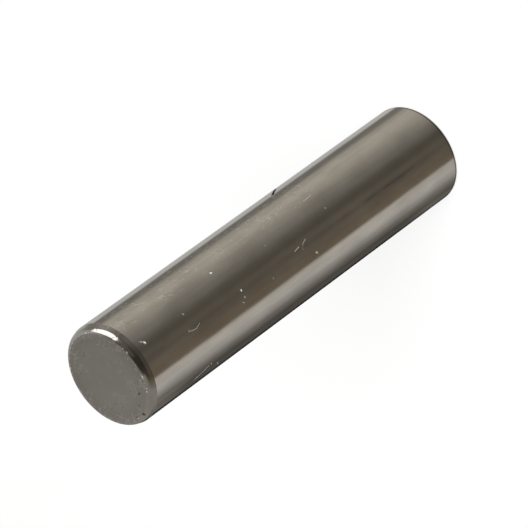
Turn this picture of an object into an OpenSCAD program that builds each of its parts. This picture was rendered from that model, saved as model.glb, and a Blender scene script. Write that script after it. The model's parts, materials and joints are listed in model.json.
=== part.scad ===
// Dowel pin: one solid bar of ground steel that locates two parts against each other.
// It stands on its plain end. The axis is +Z and the origin is the middle of the plain end face.
// All lengths are in millimetres.

/* [Barrel] */
// Diameter of the ground barrel
pin_d = 8; // [4:0.5:20]
// Overall length, from end face to end face
pin_l = 36; // [12:1:100]

/* [Lead-in end] */
// Length of the lead-in, from the edge of the barrel to the end face
lead_l = 0.65; // [0.5:0.05:1.5]
// Slope of the lead-in cone, in degrees from the axis
lead_angle = 15; // [5:1:30]
// Radius of the round between the lead-in cone and the end face
nose_round = 0.45; // [0.1:0.05:0.5]
// Angle between the cone and the nose round where they meet, a faint edge, in degrees
nose_break = 4; // [2:1:10]

/* [Plain end] */
// Radius of the broken edge between the barrel and the plain end face
foot_round = 0.3; // [0.1:0.05:0.6]

/* [Hidden] */

// Facets for a preview of the round faces
$fn = 128;

steel_grey = [0.50, 0.48, 0.45];

barrel_r = pin_d / 2;

// Height where the barrel ends and the lead-in cone starts
lead_z = pin_l - lead_l;

// The nose round touches the end face at its rim and cuts the cone at the nose break
nose_z = pin_l - nose_round;
nose_to_cone = nose_round * cos(nose_break);
nose_face_r = barrel_r - (nose_to_cone + (lead_l - nose_round) * sin(lead_angle)) / cos(lead_angle);

// Radius that the cone would have at the end face if its corner were left sharp
sharp_r = barrel_r - lead_l * tan(lead_angle);

// The foot round touches the barrel and the plain end face
foot_face_r = barrel_r - foot_round;

// The sharp corner outside the nose round, from the line square to the cone round to the axis's direction
module nose_scoop() {
    reach = 3 * nose_round;
    translate([nose_face_r, nose_z])
        difference() {
            polygon([
                [0, 0],
                reach * [cos(lead_angle), sin(lead_angle)],
                reach * [1, 1],
                reach * [0, 1],
            ]);
            circle(r = nose_round);
        }
}

// Half of the lengthwise section, in the plane of radius and height.
// The foot round is filled out by a circle, and the nose round is scooped from a sharp corner.
module half_section() {
    difference() {
        union() {
            polygon([
                [0, 0],
                [foot_face_r, 0],
                [barrel_r, foot_round],
                [barrel_r, lead_z],
                [sharp_r, pin_l],
                [0, pin_l],
            ]);
            translate([foot_face_r, foot_round]) circle(r = foot_round);
        }
        nose_scoop();
    }
}

// The whole pin, turned from its half section
module pin() {
    color(steel_grey) rotate_extrude() half_section();
}

pin();
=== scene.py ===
# %% [markdown]
# A dowel pin is a short bar of hardened steel, ground to a close size, that lines two parts up.
# This lesson loads the measured solid, sets a camera and a small studio round it,
# models the pin once more with finer edges, and gives it a ground, slightly worn steel finish.

# %% Load the measured pin
import json
import math

import bmesh
import bpy
from mathutils import Matrix, Vector


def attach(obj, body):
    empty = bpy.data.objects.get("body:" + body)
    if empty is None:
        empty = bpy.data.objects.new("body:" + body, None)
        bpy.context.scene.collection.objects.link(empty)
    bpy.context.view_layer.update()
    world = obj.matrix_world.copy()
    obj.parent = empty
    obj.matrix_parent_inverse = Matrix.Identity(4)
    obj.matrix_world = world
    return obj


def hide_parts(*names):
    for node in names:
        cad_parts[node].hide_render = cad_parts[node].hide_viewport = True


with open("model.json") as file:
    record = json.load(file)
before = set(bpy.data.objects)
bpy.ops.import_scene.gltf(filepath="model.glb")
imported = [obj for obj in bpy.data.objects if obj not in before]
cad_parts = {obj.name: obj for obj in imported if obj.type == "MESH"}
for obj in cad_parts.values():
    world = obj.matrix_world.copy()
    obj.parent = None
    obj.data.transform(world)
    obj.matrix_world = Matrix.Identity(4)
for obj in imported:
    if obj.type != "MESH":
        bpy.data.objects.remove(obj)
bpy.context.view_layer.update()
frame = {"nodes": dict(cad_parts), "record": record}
MM = 0.001
print("frame nodes:", sorted(frame["nodes"]))

# %% [markdown]
# The record that comes with the solid says where the ground barrel starts and ends.
# Most sizes of the fine model are read from it, so that the two can't drift apart.
# The slope of the lead-in and the round at its end aren't in the record, so they are written here.

# %% Sizes of the pin
mounts = {mount["name"]: mount for mount in frame["record"]["mounts"]}
barrel_mount = mounts["barrel"]
barrel_radius = barrel_mount["dims"]["r_mm"] * MM
barrel_length = barrel_mount["dims"]["length_mm"] * MM
barrel_middle = barrel_mount["pos_m"][2]
pin_length = mounts["nose_face"]["pos_m"][2]
foot_round = barrel_middle - barrel_length / 2
lead_start = barrel_middle + barrel_length / 2
lead_length = pin_length - lead_start
lead_angle = math.radians(15)
nose_round = 0.45 * MM
print(f"pin {2 * barrel_radius / MM:.2f} x {pin_length / MM:.2f} mm, foot round {foot_round / MM:.2f} mm")

# %% [markdown]
# The camera looks down on the standing pin from the front, with a long lens from about 30 cm away.
# It is rolled, so that the pin lies across the picture with its lead-in end at the lower left.
# Aiming a camera with a constraint would leave the roll at zero.
# Building the three axes by hand keeps elevation, roll and distance as one readable number each.

# %% Camera
CAMERA_LENS = 279.6
CAMERA_SENSOR = 36
CAMERA_DISTANCE = 298.8 * MM
CAMERA_ELEVATION = math.radians(39.56)
CAMERA_ROLL = math.radians(-126.1)
PIN_RIGHT_OF_CENTRE = 0.251 * MM
PIN_ABOVE_CENTRE = 0.178 * MM
NEAREST_SEEN = 0.01
FARTHEST_SEEN = 20


def stand(thing, place, x_axis, y_axis, z_axis):
    turned = Matrix((x_axis, y_axis, z_axis)).transposed().to_4x4()
    thing.matrix_world = Matrix.Translation(place) @ turned
    bpy.context.scene.collection.objects.link(thing)


back = Vector((0, -math.cos(CAMERA_ELEVATION), math.sin(CAMERA_ELEVATION)))
level_right = Vector((1, 0, 0))
level_up = back.cross(level_right)
right = level_right * math.cos(CAMERA_ROLL) + level_up * math.sin(CAMERA_ROLL)
upright = level_up * math.cos(CAMERA_ROLL) - level_right * math.sin(CAMERA_ROLL)
aim = Vector((0, 0, pin_length / 2)) - right * PIN_RIGHT_OF_CENTRE - upright * PIN_ABOVE_CENTRE

camera_data = bpy.data.cameras.new("camera")
camera_data.lens = CAMERA_LENS
camera_data.sensor_width = CAMERA_SENSOR
camera_data.clip_start = NEAREST_SEEN
camera_data.clip_end = FARTHEST_SEEN
camera = bpy.data.objects.new("camera", camera_data)
stand(camera, aim + back * CAMERA_DISTANCE, right, upright, back)
bpy.context.scene.camera = camera
bpy.context.scene.view_settings.view_transform = "Standard"
print("camera stands at", [round(value, 4) for value in camera.location])

# %% [markdown]
# Shader nodes are easier to read as sums than as boxes.
# This small class wraps one socket, so that an expression such as 1 - mask adds the Math nodes it needs.
# Every other node comes from its node method: a type, then settings, then the sockets' values or links.
# The nodes could be wired by hand in the editor, but a formula is shorter to read and to change.

# %% A socket that behaves like a number
class Wire:
    def __init__(self, socket):
        self.socket = socket
        self.tree = socket.id_data

    def node(self, kind, settings=None, inputs=None, output=0):
        return add_node(self.tree, kind, settings, inputs, output)

    def math(self, operation, *values):
        return self.node("ShaderNodeMath", {"operation": operation}, dict(enumerate(values)))

    def __add__(self, other):
        return self.math("ADD", self, other)

    def __sub__(self, other):
        return self.math("SUBTRACT", self, other)

    def __rsub__(self, other):
        return self.math("SUBTRACT", other, self)

    def __mul__(self, other):
        return self.math("MULTIPLY", self, other)

    def __truediv__(self, other):
        return self.math("DIVIDE", self, other)

    def __neg__(self):
        return self * -1

    def __abs__(self):
        return self.math("ABSOLUTE", self)

    __radd__ = __add__
    __rmul__ = __mul__


def add_node(tree, kind, settings=None, inputs=None, output=0):
    made = tree.nodes.new(kind)
    for name, value in (settings or {}).items():
        if name == "stops":
            set_stops(made.color_ramp, value)
        else:
            setattr(made, name, value)
    for key, value in (inputs or {}).items():
        if isinstance(value, Wire):
            tree.links.new(value.socket, made.inputs[key])
        else:
            made.inputs[key].default_value = value
    return Wire(made.outputs[output])


def set_stops(ramp, stops):
    while len(ramp.elements) < len(stops):
        ramp.elements.new(0.5)
    for element, (position, colour) in zip(ramp.elements, stops):
        element.position = position
        element.color = colour


print("a wrapped socket takes + - * / and abs()")

# %% [markdown]
# Most masks are soft steps: 0 on one side of a limit, 1 on the other, and smooth in between.
# A Map Range node set to Smooth Step gives one; a Color Ramp could too, but its limits are harder to read.
# A mask then mixes two colours, and the finished look is linked to the output of its tree.

# %% Steps and mixes
def split(vector):
    outputs = vector.node("ShaderNodeSeparateXYZ", None, {0: vector}).socket.node.outputs
    return [Wire(socket) for socket in outputs]


def step_up(value, low, high):
    limits = {"Value": value, "From Min": low, "From Max": high}
    return value.node("ShaderNodeMapRange", {"interpolation_type": "SMOOTHSTEP"}, limits)


def step_down(value, low, high):
    return 1 - step_up(value, low, high)


def mix_colour(share, first, second):
    blend = {"data_type": "RGBA"}
    return share.node("ShaderNodeMix", blend, {"Factor": share, 6: first, 7: second}, 2)


def show(look, output_kind="ShaderNodeOutputMaterial"):
    output = look.tree.nodes.new(output_kind)
    look.tree.links.new(look.socket, output.inputs["Surface"])


print("helpers:", [helper.__name__ for helper in (split, step_up, step_down, mix_colour, show)])

# %% [markdown]
# Polished steel has hardly a colour of its own: it shows the room.
# An image of a real studio could light the pin, but a few listed boards are easier to change.
# Each stop below gives a bearing round the pin, 0 towards the camera and positive towards +X,
# with the room's brightness and tint there.
# The lower ring is what the standing barrel mirrors, and the upper ring is what the lead-in end mirrors.
# Overhead, a dark strip hangs between two boards, and an even light comes from under the pin.

# %% Boards round the pin
WHITE = (1.0, 1.0, 0.98)
PALE = (1.0, 0.96, 0.89)
COOL = (1.0, 0.97, 0.93)
STONE = (1.0, 0.94, 0.84)
OLIVE = (1.0, 0.93, 0.75)
TAUPE = (1.0, 0.87, 0.72)
UMBER = (1.0, 0.83, 0.62)
LOWER_ROOM = [
    # Dark corner behind, and the shaded wall next to it
    (-180, 0.28, STONE), (-172, 0.03, STONE), (-164, 0.02, STONE), (-155, 0.03, STONE),
    (-147, 0.12, STONE), (-126, 0.115, STONE), (-108, 0.29, PALE),
    # Pale board on the -X side
    (-92, 0.58, COOL), (-82, 0.73, COOL), (-65, 0.75, PALE), (-61, 0.67, STONE),
    # Dark, warm gap towards the camera
    (-57, 0.23, UMBER), (-40, 0.22, UMBER), (-28, 0.20, TAUPE), (-20, 0.165, TAUPE), (-10, 0.19, TAUPE),
    (4, 0.132, OLIVE), (12, 0.15, OLIVE),
    # Wide board on the +X side, brightest at its far end
    (28, 0.26, STONE), (44, 0.38, STONE), (60, 0.51, STONE), (78, 0.69, STONE), (92, 0.68, STONE),
    # Grey gap, and the white board behind it
    (106, 0.55, STONE), (114, 0.32, STONE), (123, 0.26, PALE), (133, 0.25, PALE),
    (137, 0.70, WHITE), (150, 0.64, WHITE), (172, 0.52, WHITE), (180, 0.28, STONE),
]
UPPER_ROOM = [
    # Even wall behind and on the -X side
    (-180, 0.30, PALE), (-165, 0.38, PALE), (-140, 0.43, PALE), (-120, 0.38, PALE), (-72, 0.36, PALE),
    # Dark, warm gap towards the camera
    (-56, 0.21, UMBER), (-42, 0.085, UMBER), (-20, 0.05, TAUPE), (0, 0.055, TAUPE), (20, 0.095, STONE),
    # Grey board on the +X side
    (40, 0.17, STONE), (55, 0.21, STONE), (72, 0.38, PALE), (90, 0.43, PALE), (105, 0.31, STONE),
    # White board behind it
    (122, 0.31, STONE), (135, 0.54, WHITE), (150, 0.60, WHITE), (165, 0.50, WHITE), (175, 0.31, PALE),
]
UNDER_THE_PIN = (0.45, 0.44, 0.41, 1)
STRIP = (0.050, 0.046, 0.040, 1)
BOARD_ON_THE_LEFT = (0.38, 0.37, 0.34, 1)
BOARD_ON_THE_RIGHT = (0.145, 0.132, 0.114, 1)
print("stops round the pin:", len(LOWER_ROOM), "below and", len(UPPER_ROOM), "above")

# %% [markdown]
# The boards meet softly, at limits given as elevations in degrees or as parts of the direction looked in.
# In front of the pin, up to eye level, the lower ring's warm gap is mixed half and half with what is there.
# The boards could be meshes, but masks in the world have no edges to hide and render faster.
# The camera itself sees plain white in place of the room.

# %% The room that the steel mirrors
BACKDROP = (1, 1, 1, 1)
UNDER_MEETS_LOWER = (-68, -50)
LOWER_MEETS_UPPER = (-32, -12)
UPPER_MEETS_OVERHEAD = (48, 55)
STRIP_MEETS_RIGHT = (0.02, 0.08)
LEFT_MEETS_STRIP = (-0.35, -0.22)
LEFT_BOARD_SLANT = 0.45
IN_FRONT = (-0.85, -0.60)
EYE_LEVEL = (-0.08, -0.03)
FRONT_SHARE = 0.5


def ring(turn, room_stops):
    stops = []
    for bearing, brightness, tint in room_stops:
        stops.append((bearing / 360 + 0.5, (*[brightness * part for part in tint], 1)))
    return turn.node("ShaderNodeValToRGB", {"stops": stops}, {0: turn})


def above(rise, elevations):
    low, high = [math.sin(math.radians(elevation)) for elevation in elevations]
    return step_up(rise, low, high)


world = bpy.data.worlds.new("studio")
bpy.context.scene.world = world
world.use_nodes = True
room = world.node_tree
room.nodes.clear()
direction = add_node(room, "ShaderNodeTexCoord", None, None, "Generated")
sideways, away, rise = split(direction)
turn = sideways.math("ARCTAN2", sideways, -away) / math.tau + 0.5
overhead = mix_colour(step_up(sideways, *STRIP_MEETS_RIGHT), STRIP, BOARD_ON_THE_RIGHT)
on_the_left = step_down(sideways - away * LEFT_BOARD_SLANT, *LEFT_MEETS_STRIP)
overhead = mix_colour(on_the_left, overhead, BOARD_ON_THE_LEFT)
lower_ring = ring(turn, LOWER_ROOM)
seen = mix_colour(above(rise, UNDER_MEETS_LOWER), UNDER_THE_PIN, lower_ring)
seen = mix_colour(above(rise, LOWER_MEETS_UPPER), seen, ring(turn, UPPER_ROOM))
in_front = step_down(away, *IN_FRONT) * step_down(rise, *EYE_LEVEL)
seen = mix_colour(in_front * FRONT_SHARE, seen, lower_ring)
seen = mix_colour(above(rise, UPPER_MEETS_OVERHEAD), seen, overhead)
mirrored = add_node(room, "ShaderNodeBackground", None, {"Color": seen, "Strength": 1})
backdrop = add_node(room, "ShaderNodeBackground", None, {"Color": BACKDROP, "Strength": 1})
camera_ray = add_node(room, "ShaderNodeLightPath", None, None, "Is Camera Ray")
shown = add_node(room, "ShaderNodeMixShader", None, {0: camera_ray, 1: mirrored, 2: backdrop})
show(shown, "ShaderNodeOutputWorld")
print("room nodes:", len(room.nodes))

# %% [markdown]
# The pin stands on a white floor that keeps a soft, faint shadow.
# Seen from above, a shiny barrel would mirror nothing but this floor and turn white from edge to edge.
# A photographer hides the table with dark cards; here the floor is simply kept out of reflections.
# Most of its white is a glow, so that the lamps don't have to make it.

# %% Floor
FLOOR_HALF = 1.5
FLOOR_WHITE = (0.9, 0.9, 0.9, 1)
FLOOR_GLOW = (1, 1, 1, 1)
GLOW_SHARE = 0.84


def make_object(name, shape):
    made = bpy.data.objects.new(name, bpy.data.meshes.new(name))
    shape.to_mesh(made.data)
    shape.free()
    bpy.context.scene.collection.objects.link(made)
    return made


def flat_sheet(name, half_side, height):
    sheet = bmesh.new()
    bmesh.ops.create_grid(sheet, x_segments=1, y_segments=1, size=half_side)
    bmesh.ops.translate(sheet, verts=sheet.verts, vec=(0, 0, height))
    return make_object(name, sheet)


def blank_material(name, thing):
    material = bpy.data.materials.new(name)
    material.use_nodes = True
    material.node_tree.nodes.clear()
    thing.data.materials.append(material)
    return material.node_tree


floor = flat_sheet("floor", FLOOR_HALF, 0)
floor.visible_glossy = False
paint = blank_material("floor_paint", floor)
lit = add_node(paint, "ShaderNodeBsdfDiffuse", None, {"Color": FLOOR_WHITE})
glow = add_node(paint, "ShaderNodeEmission", None, {"Color": FLOOR_GLOW, "Strength": 1})
show(add_node(paint, "ShaderNodeMixShader", None, {0: GLOW_SHARE, 1: lit, 2: glow}))
print("floor:", 2 * FLOOR_HALF, "m wide")

# %% [markdown]
# Two oval area lamps help the room.
# The window only shows in the steel, as the white crescent on the lead-in, and lights nothing else.
# The key light falls on the floor, for the shadow, and doesn't show in the steel.
# Each lamp is set by its radiance, so that its size can change without changing how bright it looks.

# %% Lamps
def soft_lamp(name, bearing, elevation, tilt, distance, size, radiance):
    data = bpy.data.lights.new(name, "AREA")
    data.shape = "ELLIPSE"
    data.size, data.size_y = size
    oval_area = math.pi / 4 * size[0] * size[1]
    data.energy = radiance * math.pi * oval_area
    lamp = bpy.data.objects.new(name, data)
    bearing, elevation, tilt = [math.radians(angle) for angle in (bearing, elevation, tilt)]
    level = Vector((math.cos(bearing), math.sin(bearing), 0))
    towards = Vector((math.sin(bearing), -math.cos(bearing), 0)) * math.cos(elevation)
    towards.z = math.sin(elevation)
    long_side = level * math.cos(tilt) + towards.cross(level) * math.sin(tilt)
    place = Vector((0, 0, pin_length)) + towards * distance
    stand(lamp, place, long_side, towards.cross(long_side), towards)
    return lamp


window = soft_lamp(
    "window", bearing=90, elevation=39, tilt=38, distance=0.3, size=(0.40, 0.23), radiance=2.1,
)
window.visible_diffuse = False
key = soft_lamp(
    "key", bearing=10, elevation=60, tilt=0, distance=0.5, size=(0.3, 0.3), radiance=16.0,
)
key.visible_glossy = False
print("lamps:", window.name, key.name)

# %% [markdown]
# Near both ends, the shaded side of the barrel brightens a little, as if it caught a pale table there.
# The floor is kept out of reflections, so a sheet that only reflections show stands in for that table.
# It is see-through, and adds a glow close to the foot and in a ring just beyond the pin's shadow.
# Farther out the glow would show as a strip in views from behind, so the ring ends there.
# A wedge between two slanted lines keeps the glow to the shaded side.

# %% Pale table beside the pin
TABLE_HALF = 0.2
TABLE_LIFT = 0.05 * MM
TABLE_GLOW = (0.10, 0.095, 0.085, 1)
NO_GLOW = (0, 0, 0, 1)
CLOSE_TO_THE_FOOT = (4.5 * MM, 10 * MM)
PAST_THE_SHADOW = (41 * MM, 48 * MM)
TOO_FAR_TO_SHOW = (52 * MM, 62 * MM)
NEAR_LINE_SLANT = 0.45
NEAR_LINE = (-5 * MM, -1 * MM)
FAR_LINE_SLANT = 1.6
FAR_LINE = (-12 * MM, 2 * MM)
LEFT_OF_THE_AXIS = (-2 * MM, 0)


def length_of(first, second):
    return first.math("SQRT", first * first + second * second)


table = flat_sheet("pale_table", TABLE_HALF, TABLE_LIFT)
table.visible_camera = False
table.visible_diffuse = False
table.visible_shadow = False
paint = blank_material("table_paint", table)
x, y, _ = split(add_node(paint, "ShaderNodeTexCoord", None, None, "Object"))
from_axis = length_of(x, y)
beyond = step_up(from_axis, *PAST_THE_SHADOW) * step_down(from_axis, *TOO_FAR_TO_SHOW)
pale = step_down(from_axis, *CLOSE_TO_THE_FOOT) + beyond
wedge = step_up(y + x * NEAR_LINE_SLANT, *NEAR_LINE) * step_down(y + x * FAR_LINE_SLANT, *FAR_LINE)
shaded_side = wedge * step_down(x, *LEFT_OF_THE_AXIS)
clear = add_node(paint, "ShaderNodeBsdfTransparent")
glow_colour = mix_colour(pale * shaded_side, NO_GLOW, TABLE_GLOW)
glow = add_node(paint, "ShaderNodeEmission", None, {"Color": glow_colour, "Strength": 1})
show(add_node(paint, "ShaderNodeAddShader", None, {0: clear, 1: glow}))
print("table glow:", TABLE_GLOW)

# %% [markdown]
# The real pin is turned from bar, so its section could be drawn and spun round the axis.
# Pulling a round face up is shorter: once for the barrel, and once up and inwards for the lead-in cone.
# The edge between barrel and cone stays sharp, because grinding the barrel leaves it crisp.
# The cone stops a little low, to leave room for the worn rim of its end, which rises inwards.

# %% Barrel and lead-in
AROUND = 288
WORN_RIM = [(0.15 * MM, math.radians(6)), (0.15 * MM, math.radians(2.5))]
SAME_HEIGHT = 1e-7
worn_drop = sum(width * math.tan(slope) for width, slope in WORN_RIM)

shape = bmesh.new()
bmesh.ops.create_circle(shape, cap_ends=True, segments=AROUND, radius=barrel_radius)


def pull_up(face, height, scale=1.0):
    pulled = bmesh.ops.extrude_face_region(shape, geom=[face])["geom"]
    corners = [item for item in pulled if isinstance(item, bmesh.types.BMVert)]
    bmesh.ops.translate(shape, verts=corners, vec=(0, 0, height))
    bmesh.ops.scale(shape, verts=corners, vec=(scale, scale, 1))
    return next(item for item in pulled if isinstance(item, bmesh.types.BMFace))


shape.faces.ensure_lookup_table()
foot_face = shape.faces[0]
cone_scale = 1 - lead_length * math.tan(lead_angle) / barrel_radius
barrel_end = pull_up(foot_face, lead_start)
nose_face = pull_up(barrel_end, lead_length - worn_drop, cone_scale)
bmesh.ops.delete(shape, geom=[barrel_end], context="FACES_ONLY")
bmesh.ops.recalc_face_normals(shape, faces=shape.faces)
for edge in shape.edges:
    if all(abs(corner.co.z - lead_start) < SAME_HEIGHT for corner in edge.verts):
        edge.smooth = False
print("faces before bevels:", len(shape.faces))

# %% [markdown]
# Both rims of the real pin are rounded, by tumbling and by wear, and a rounded edge catches the light.
# A Bevel modifier with edge weights could round them, but each rim has a radius of its own,
# and the operator takes one rim at a time.
# Its offset is the distance from the old edge to where the round starts,
# which follows from the radius and from the angle that the surface turns through.

# %% Rounded rims
ROUND_STEPS = 32


def round_rim(face, offset):
    bmesh.ops.bevel(
        shape, geom=face.edges[:], offset=offset, offset_type="OFFSET", affect="EDGES",
        segments=ROUND_STEPS, profile=0.5, material=-1,
    )


nose_turn = math.pi / 2 - lead_angle
round_rim(nose_face, nose_round * math.tan(nose_turn / 2))
foot_face = min(shape.faces, key=lambda face: face.calc_center_median().z)
round_rim(foot_face, foot_round)
print("faces after bevels:", len(shape.faces))

# %% [markdown]
# Handling wears the rim of the end face a little lower than its middle, and that rim shows as a paler line.
# Sculpting could do it, but two insets with a small rise are exact and even all the way round.
# A ring of narrow faces beside each round keeps the flat ends flat and the barrel straight in the shading,
# because smooth shading blends the directions of neighbouring faces.
# The two ends are the only faces with more than four corners, which is how they are found.

# %% Worn rim and support rings
SUPPORT = 0.1 * MM
END_TILT = math.radians(7)
END_STEEL = 1

for end in [face for face in shape.faces if len(face.verts) > 4]:
    if end.normal.z > 0:
        for width, slope in WORN_RIM:
            bmesh.ops.inset_region(shape, faces=[end], thickness=width, depth=width * math.tan(slope))
    bmesh.ops.inset_region(shape, faces=[end], thickness=SUPPORT)
for ring_height in (foot_round + SUPPORT, lead_start - SUPPORT):
    everything = shape.verts[:] + shape.edges[:] + shape.faces[:]
    bmesh.ops.bisect_plane(shape, geom=everything, plane_co=(0, 0, ring_height), plane_no=(0, 0, 1))

for face in shape.faces:
    face.smooth = True
    if abs(face.normal.z) > math.cos(END_TILT):
        face.material_index = END_STEEL

dowel_pin = make_object("dowel_pin", shape)
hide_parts("pin")
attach(dowel_pin, "root")
print("pin mesh:", len(dowel_pin.data.vertices), "vertices,", len(dowel_pin.data.polygons), "faces")

# %% [markdown]
# Both finishes are bare steel, so they share the colours of their marks, one of which also paints the shade
# at the foot of the barrel, and the nodes that end the tree.
# Places on the pin are read in millimetres from the object's own origin,
# so the marks stay where they are on the pin when it is moved.
# A finish that followed an unwrapped map would need a seam, and a round bar has no good place for one.

# %% Shared steel nodes
SCRATCHED = (0.95, 0.93, 0.89, 1)
# A dark colour for grime in the pits, the nick and the rubbed line, also used as painted shade on the foot's
# edge.
GRIME_AND_SHADE = (0.05, 0.045, 0.04, 1)


def place_mm(tree):
    place = add_node(tree, "ShaderNodeTexCoord", None, None, "Object")
    return place.node("ShaderNodeVectorMath", {"operation": "SCALE"}, {0: place, "Scale": 1 / MM})


def finish_material(tree, colour, metallic, roughness, relief_mm, anisotropic):
    bump = add_node(tree, "ShaderNodeBump", None, {"Height": relief_mm, "Distance": MM})
    show(add_node(tree, "ShaderNodeBsdfPrincipled", None, {
        "Base Color": colour,
        "Metallic": metallic,
        "Roughness": roughness,
        "Anisotropic": anisotropic,
        "Normal": bump,
    }))


print("colours of the marks:", SCRATCHED, GRIME_AND_SHADE)

# %% [markdown]
# Wear that has no single place comes from noise, cut off at a limit so that only its peaks stay.
# A noise pattern is given by its features per millimetre across and along the pin, and its fine detail.
# Squiggles are the thin lines where a noise crosses its middle, shown only in patches.
# A painted mask could do the same, but noise stays sharp however close the camera comes.

# %% Patterns that wear leaves
NOISE_MIDDLE = 0.5
SQUIGGLE_DETAIL = 1.0
SQUIGGLE_CORE = 0.4
PATCH_DETAIL = 0.0
PATCH_LIMITS = (0.5, 0.58)


def noise(place, across, along, detail):
    stretched = place.node("ShaderNodeMapping", None, {"Vector": place, "Scale": (across, across, along)})
    return place.node("ShaderNodeTexNoise", None, {"Vector": stretched, "Scale": 1.0, "Detail": detail})


def peaks(place, pattern, limits):
    return step_up(noise(place, *pattern), *limits)


def swing(place, pattern, size):
    return (noise(place, *pattern) - NOISE_MIDDLE) * size


def squiggles(place, size, patch_size, width):
    wave = noise(place, 1 / size, 1 / size, SQUIGGLE_DETAIL)
    patches = peaks(place, (1 / patch_size, 1 / patch_size, PATCH_DETAIL), PATCH_LIMITS)
    return step_down(abs(wave - NOISE_MIDDLE), width * SQUIGGLE_CORE, width) * patches


print("patterns:", [pattern.__name__ for pattern in (noise, peaks, swing, squiggles)])

# %% [markdown]
# One pit and some chips sit on the edge of the end face, where the two finishes meet.
# Both finishes draw them with the same helpers, so that a mark runs on from one into the other.
# Cutting them into the mesh would need far more faces there than the pin has now.
# Two soft steps make a band, and a step down with the distance from a point makes a spot.
# A pit's row gives, in millimetres, its place to the right of the axis and towards the camera,
# and its radius, then its depth as a share of the deepest.

# %% Marks on the rim
SPOT_CORE = 0.3
RIM_PIT = (-3.53, 0.85, 0.19, 1.0)
RIM_SPECK_NOISE = (5.0, 5.0, 2.0)
RIM_SPECK_LIMITS = (0.52, 0.62)
RIM_PATCH_NOISE = (0.9, 0.9, 1.0)
RIM_PATCH_LIMITS = (0.40, 0.54)
RIM_WANDER_NOISE = (1.5, 1.5, 1.0)
RIM_WANDER = 0.3
RIM_BAND = (3.38, 3.58, 0.05)
NOSE_HEIGHTS = (35, 35.5)


def between(value, low, high, soft):
    return step_up(value, low - soft, low + soft) * step_down(value, high - soft, high + soft)


def spot(distance, radius, strength):
    return step_down(distance, radius * SPOT_CORE, radius) * strength


def pit(x, y, ragged, across, toward_camera, radius, depth):
    return spot(length_of(x - across, y + toward_camera) + ragged, radius, depth)


def rim_chips(place, x, y, up):
    specks = peaks(place, RIM_SPECK_NOISE, RIM_SPECK_LIMITS)
    patches = peaks(place, RIM_PATCH_NOISE, RIM_PATCH_LIMITS)
    wander = swing(place, RIM_WANDER_NOISE, RIM_WANDER)
    on_the_rim = between(length_of(x, y) + wander, *RIM_BAND) * step_up(up, *NOSE_HEIGHTS)
    return specks * patches * on_the_rim


print("pit on the rim, in mm from the axis:", round(math.hypot(*RIM_PIT[:2]), 2))

# %% [markdown]
# The barrel was bright once and has picked up scratches, dents and a nick from being handled.
# A place on it is a bearing round the pin in degrees and a height above the plain end in millimetres.
# A scratch has such a place for each of its two ends, then its width in millimetres and its paleness.
# A dent has one place, its radius and its paleness, and the nick is a wide, dark scratch.
# A painted image could hold them too, but it would be fixed to one size of picture,
# and here a mark can be moved by changing one number.

# %% Marks on the barrel
SCRATCHES = [
    # Long scratch with a hooked end, and a tick beside it
    (-60.8, 29.4, -68.2, 31.3, 0.10, 0.8),
    (-59.5, 29.35, -62.5, 29.25, 0.10, 0.65),
    (-74, 28.2, -65, 28.6, 0.09, 0.6),
    # Curved scratch, in four short strokes
    (-9.6, 29.5, -12.5, 30.1, 0.06, 0.37),
    (-12.5, 29.9, -11.9, 30.5, 0.06, 0.32),
    (-12.2, 30.3, -10.0, 30.9, 0.07, 0.3),
    (-10.6, 30.85, -8.0, 30.65, 0.06, 0.2),
    # Three strokes that nearly meet
    (-3.7, 17.1, -7.8, 17.8, 0.08, 0.32),
    (-7.2, 17.65, -13, 17.95, 0.07, 0.17),
    (-6.8, 18.0, -8.5, 18.75, 0.10, 0.35),
    # Bright pair close to the lead-in
    (5.5, 34.5, 9.0, 34.65, 0.12, 0.65),
    (8.5, 34.6, 11.5, 34.9, 0.11, 0.3),
    # Single ticks
    (-25.5, 16.65, -22, 16.9, 0.14, 0.3),
    (-21, 25.0, -19, 25.2, 0.08, 0.38),
    (31, 13.6, 30, 14.9, 0.08, 0.5),
    (37.5, 12.9, 35, 13.4, 0.08, 0.3),
]
DENTS = [
    (-18, 21.6, 0.09, 0.15), (-16, 24.8, 0.09, 0.45), (-8, 24.8, 0.12, 0.82), (7.5, 30.3, 0.11, 0.25),
    (25.4, 25.85, 0.14, 0.85), (10, 13.85, 0.09, 0.28), (-23.5, 16.75, 0.11, 0.25), (7, 34.55, 0.14, 0.55),
    (9.5, 34.75, 0.10, 0.2), (15, 20.5, 0.06, 0.3),
]
NICK = (65.5, 15.35, 83, 13.65, 0.26, 1.0)
print("barrel marks:", len(SCRATCHES) + len(DENTS) + 1)

# %% [markdown]
# A mark is drawn on the barrel rolled out flat, where a bearing becomes a length round the pin.
# Turning that sheet until a scratch stands upright leaves two plain steps, one along it and one across it.
# A dent is a spot on the same sheet.
# Where marks cross, only the strongest counts, because their sum would make the crossing too bright.

# %% Scratches and dents as masks
SCRATCH_CORE_LENGTH = 0.6
SCRATCH_CORE_WIDTH = 0.2
DEGREE_MM = math.radians(barrel_radius / MM)


def lined_up(around, up, bearing, height, lean):
    sideways = around - bearing * DEGREE_MM
    upwards = up - height
    along = upwards * math.cos(lean) + sideways * math.sin(lean)
    across = sideways * math.cos(lean) - upwards * math.sin(lean)
    return along, across


def scratch(around, up, bearing, height, end_bearing, end_height, width, paleness):
    run = (end_bearing - bearing) * DEGREE_MM
    climb = end_height - height
    half = math.hypot(run, climb) / 2
    middle = ((bearing + end_bearing) / 2, (height + end_height) / 2)
    along, across = lined_up(around, up, *middle, math.atan2(run, climb))
    lengthwise = step_down(abs(along), half * SCRATCH_CORE_LENGTH, half)
    return lengthwise * step_down(abs(across), width * SCRATCH_CORE_WIDTH, width / 2) * paleness


def dent(around, up, bearing, height, radius, paleness):
    return spot(length_of(*lined_up(around, up, bearing, height, 0)), radius, paleness)


def strongest(masks):
    most = masks[0]
    for mask in masks[1:]:
        most = most.math("MAXIMUM", most, mask)
    return most


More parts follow.
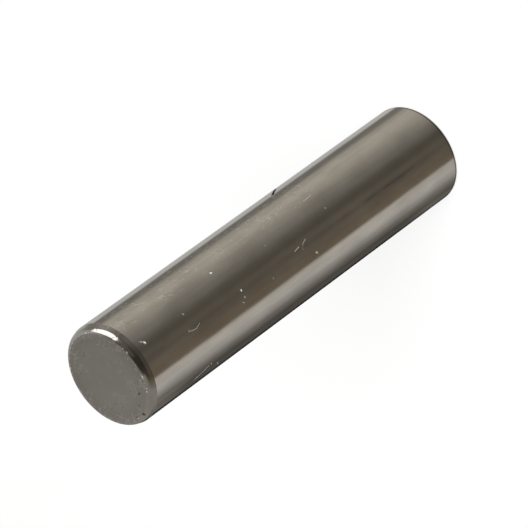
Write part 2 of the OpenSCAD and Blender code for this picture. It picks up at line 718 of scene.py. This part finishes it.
tree = blank_material("barrel_steel", dowel_pin)
place = place_mm(tree)
x, y, up = split(place)
bearing = x.math("ARCTAN2", x, -y) * math.degrees(1)
around = bearing * DEGREE_MM
scratched = strongest([scratch(around, up, *each) for each in SCRATCHES])
dented = strongest([dent(around, up, *each) for each in DENTS])
nicked = scratch(around, up, *NICK)
print("barrel nodes for the marks:", len(tree.nodes))

# %% [markdown]
# Besides the named marks, one side of the barrel is scuffed and has a row of fine specks,
# and something has rubbed a thin, broken, dark line along the front.
# These have no single place, so noise draws them inside a band of bearings and heights.
# The back, which the camera doesn't see, gets the same scuffs, but fainter.
# A band has three numbers, in degrees or millimetres, with the softness of its edges last.
# A pair of numbers is one soft step.

# %% Scuffs, specks and a rubbed line
SCUFFED_BEARINGS = (31, 53, 4)
SCUFFED_HEIGHTS = (11, 14)
SCUFFED_BACK = (0.5, 2.0)
SCUFFS_ON_THE_BACK = 0.25
SCUFF_SQUIGGLES = (0.9, 1.3, 0.04)
FLAKE_NOISE = (3.0, 2.2, 1.0)
FLAKE_LIMITS = (0.62, 0.68)
SPECKED_BEARINGS = (55, 63, 2)
SPECKED_HEIGHTS = (10, 14)
SPECK_NOISE = (4.0, 2.0, 1.0)
SPECK_LIMITS = (0.56, 0.64)
RUBBED_BEARING = -10
RUBBED_WIDTH = (0.2, 2.4)
RUBBED_HEIGHTS = (3, 14, 2)
WOBBLE_NOISE = (0.4, 0.3, 2.0)
WOBBLE_DEGREES = 3
BREAK_NOISE = (0.6, 0.6, 2.0)
BREAK_LIMITS = (0.3, 0.55)

scuffed_side = between(bearing, *SCUFFED_BEARINGS) * step_up(up, *SCUFFED_HEIGHTS)
scuffed = strongest([scuffed_side, step_up(y, *SCUFFED_BACK) * SCUFFS_ON_THE_BACK])
scuffs = squiggles(place, *SCUFF_SQUIGGLES) * scuffed
flakes = peaks(place, FLAKE_NOISE, FLAKE_LIMITS) * scuffed_side
specked = between(bearing, *SPECKED_BEARINGS) * step_up(up, *SPECKED_HEIGHTS)
specks = peaks(place, SPECK_NOISE, SPECK_LIMITS) * specked
off_line = abs(bearing - RUBBED_BEARING + swing(place, WOBBLE_NOISE, WOBBLE_DEGREES))
rubbed = step_down(off_line, *RUBBED_WIDTH) * between(up, *RUBBED_HEIGHTS)
rubbed = rubbed * peaks(place, BREAK_NOISE, BREAK_LIMITS)
print("barrel nodes so far:", len(tree.nodes))

# %% [markdown]
# Under the wear, the ground steel has fine lines round it, and clouds and long streaks of duller metal.
# One noise makes all three, stretched in a different way each time, where an image would repeat.
# The broken edge at the foot is darkened with painted shade, and the turned cone of the lead-in is a little
# rougher.

# %% Ground steel under the wear
LINE_NOISE = (0.2, 9.0, 3.0)
CLOUD_NOISE = (0.7, 0.35, 4.0)
STREAK_NOISE = (2.4, 0.12, 3.0)
TURNED_LENGTH = 0.32
TURNED_SOFT = 0.02
# Heights in millimetres over which the foot's rounded edge gets painted shade.
FOOT_SHADE_HEIGHTS = (0.24, 0.42)
SMOOTH_EDGE = 0.0

lines = noise(place, *LINE_NOISE)
cloud = noise(place, *CLOUD_NOISE)
streaks = noise(place, *STREAK_NOISE)
cone_start = lead_start / MM
turned = between(up, cone_start, cone_start + TURNED_LENGTH, TURNED_SOFT)
# Painted shade on the foot's rounded edge, darkest at the bottom.
foot_shade = step_down(up, *FOOT_SHADE_HEIGHTS)
rim_pitted = pit(x, y, SMOOTH_EDGE, *RIM_PIT)
chipped = rim_chips(place, x, y, up)
print("cone starts", round(cone_start, 2), "mm up")

# %% [markdown]
# The masks now set the finish: how pale or dark each kind of wear is, how dark the painted shade at the foot
# is, how dull, how rough and how deep.
# Pale marks are also less metallic, because torn steel scatters light where a mirror would stay dark.
# Relief is bump in millimetres: the marks are too shallow to be worth cutting into the mesh.

# %% Finish of the barrel
DULL_STEEL = (0.30, 0.287, 0.268, 1)
BRIGHT_STEEL = (0.62, 0.593, 0.552, 1)
CLOUD_SHARE = 0.6
STREAK_SHARE = 0.4
PALENESS = {"scuffs": 0.2, "flakes": 0.12, "specks": 0.12, "chips": 0.6}
# The darkness at the foot edge is painted shade; the rubbed line and the rim pit are dark marks.
DARKNESS = {"rubbed": 0.25, "foot shade": 0.85, "rim pit": 0.85}
METAL_LOST = {"scratches": 0.7, "dents": 0.85, "chips": 0.5}
GROUND_ROUGHNESS = 0.08
ROUGHER = {"lines": 0.06, "light wear": 0.3, "nick": 0.8, "cone": 0.06}
RAISED = {"lines": 0.0004, "clouds": 0.006}
CUT = {"scratches": 0.03, "dents": 0.07, "scuffs": 0.010, "specks": 0.004, "nick": 0.06}
GROUND_ANISOTROPY = 0.5

fine_wear = [scuffs * PALENESS["scuffs"], flakes * PALENESS["flakes"], specks * PALENESS["specks"]]
light_wear = strongest([scratched, dented, *fine_wear, chipped * PALENESS["chips"]])
# Dark marks, together with the painted shade at the foot.
grime_and_shade = [rubbed * DARKNESS["rubbed"], foot_shade * DARKNESS["foot shade"], rim_pitted * DARKNESS["rim pit"]]
dark_wear_and_shade = strongest([nicked, *grime_and_shade])
colour = mix_colour(cloud * CLOUD_SHARE + streaks * STREAK_SHARE, DULL_STEEL, BRIGHT_STEEL)
colour = mix_colour(light_wear, colour, SCRATCHED)
# Darkens the dark marks and paints the shade at the foot.
colour = mix_colour(dark_wear_and_shade, colour, GRIME_AND_SHADE)
metallic = 1 - scratched * METAL_LOST["scratches"] - dented * METAL_LOST["dents"]
metallic = metallic - chipped * METAL_LOST["chips"]
roughness = GROUND_ROUGHNESS + lines * ROUGHER["lines"] + light_wear * ROUGHER["light wear"]
roughness = roughness + nicked * ROUGHER["nick"] + turned * ROUGHER["cone"]
relief = lines * RAISED["lines"] + cloud * RAISED["clouds"]
relief = relief - scratched * CUT["scratches"] - dented * CUT["dents"] - scuffs * CUT["scuffs"]
relief = relief - specks * CUT["specks"] - nicked * CUT["nick"]
finish_material(tree, colour, metallic, roughness, relief, GROUND_ANISOTROPY)
print("barrel nodes:", len(tree.nodes))

# %% [markdown]
# The end faces are cut and tumbled, not ground, so they are satin and finely speckled.
# Pits with ragged edges are listed one by one; noise adds the mottling, because nobody could place every
# speck.
# Towards the rim the face is polished by rubbing, with chips along its edge,
# and one side, towards -X, is paler and has more flecks.

# %% Pits and patterns of the end faces
PITS = [
    RIM_PIT, (-2.20, 1.92, 0.22, 0.8), (-2.94, 2.05, 0.14, 0.5), (-2.86, 1.15, 0.13, 0.6),
    (-1.68, 1.20, 0.12, 0.25), (-1.62, 1.85, 0.12, 0.3), (-3.45, 0.10, 0.15, 0.8), (-1.75, -1.0, 0.14, 0.4),
    (-1.95, -1.7, 0.12, 0.3), (2.22, -0.7, 0.14, 0.35), (1.45, 1.0, 0.10, 0.2), (1.8, -0.25, 0.12, 0.3),
    (1.1, -1.7, 0.12, 0.3), (3.06, 0.05, 0.12, 0.4), (2.4, -0.45, 0.10, 0.3), (-1.55, 3.1, 0.13, 0.4),
    (-0.45, 3.15, 0.12, 0.3), (0.65, 3.0, 0.11, 0.3), (0.9, 2.6, 0.09, 0.2), (-2.3, -0.6, 0.11, 0.3),
    (1.35, -2.2, 0.11, 0.3),
]
RAGGED_NOISE = (5.0, 5.0, 1.0)
RAGGED_EDGE = 0.25
FLECK_SQUIGGLES = (0.6, 1.2, 0.025)
MOTTLE_NOISE = (0.8, 0.8, 3.0)
GRAIN_NOISE = (8.0, 8.0, 2.0)
POLISHED_RIM = (2.2, 3.5)
CHIP_NOISE = (3.0, 3.0, 1.0)
CHIP_LIMITS = (0.56, 0.64)
CHIP_BAND = (3.0, 3.55, 0.15)
CHIP_PATCH_NOISE = (0.5, 0.5, 0.0)
CHIP_PATCH_LIMITS = (0.42, 0.58)
# Limits in millimetres of x, towards -X, of the side of the face that is drawn paler and with more flecks.
PALER_SIDE = (-2.6, 0.4)

tree = blank_material("end_steel", dowel_pin)
place = place_mm(tree)
x, y, up = split(place)
ragged = swing(place, RAGGED_NOISE, RAGGED_EDGE)
pitted = strongest([pit(x, y, ragged, *each) for each in PITS])
flecks = squiggles(place, *FLECK_SQUIGGLES)
mottle = noise(place, *MOTTLE_NOISE)
grain = noise(place, *GRAIN_NOISE)
from_axis = length_of(x, y)
polished = step_up(from_axis, *POLISHED_RIM)
chips = peaks(place, CHIP_NOISE, CHIP_LIMITS) * between(from_axis, *CHIP_BAND)
chips = chips * peaks(place, CHIP_PATCH_NOISE, CHIP_PATCH_LIMITS)
chipped = rim_chips(place, x, y, up)
# Paler towards -X, with more flecks there.
paler_side = step_down(x, *PALER_SIDE)
print("pits:", len(PITS))

# %% [markdown]
# The satin of the ends is a rough metal, and it turns to the barrel's shine only near the polished rim.
# Grain and pits could be modelled, but they are a few hundredths of a millimetre deep at most,
# so bump is enough.

# %% Finish of the end faces
SATIN = (0.45, 0.434, 0.412, 1)
STEEL = (0.46, 0.44, 0.41, 1)
MOTTLE_LIMITS = (0.4, 0.7)
MOTTLE_SHARE = 0.8
FLECK_PALENESS = 0.14
POLISHED_FLECKS = 0.1
PALER_SIDE_FLECKS = 0.12
CHIP_PALENESS = 0.3
PALER_SIDE_PALENESS = 0.07
PIT_DARKNESS = 0.75
SATIN_ROUGHNESS = 0.28
MOTTLE_ROUGHER = 0.12
GRAIN_ROUGHER = 0.04
POLISH_SMOOTHER = 0.2
GRAIN_RELIEF = 0.0005
MOTTLE_RELIEF = 0.012
FLECK_CUT = 0.003
CHIP_CUT = 0.003
PIT_CUT = 0.025

shiny = strongest([polished, step_up(mottle, *MOTTLE_LIMITS) * MOTTLE_SHARE])
fleck_paleness = FLECK_PALENESS + polished * POLISHED_FLECKS + paler_side * PALER_SIDE_FLECKS
pale_chips = [chips * CHIP_PALENESS, chipped * CHIP_PALENESS]
pale = strongest([flecks * fleck_paleness, *pale_chips, paler_side * PALER_SIDE_PALENESS])
colour = mix_colour(shiny, SATIN, STEEL)
colour = mix_colour(pale, colour, SCRATCHED)
colour = mix_colour(pitted * PIT_DARKNESS, colour, GRIME_AND_SHADE)
roughness = SATIN_ROUGHNESS + mottle * MOTTLE_ROUGHER + grain * GRAIN_ROUGHER - polished * POLISH_SMOOTHER
relief = grain * GRAIN_RELIEF * (1 - polished) + mottle * MOTTLE_RELIEF
relief = relief - flecks * FLECK_CUT - chips * CHIP_CUT - pitted * PIT_CUT
finish_material(tree, colour, metallic=1.0, roughness=roughness, relief_mm=relief, anisotropic=0.0)
print("materials:", [material.name for material in dowel_pin.data.materials])
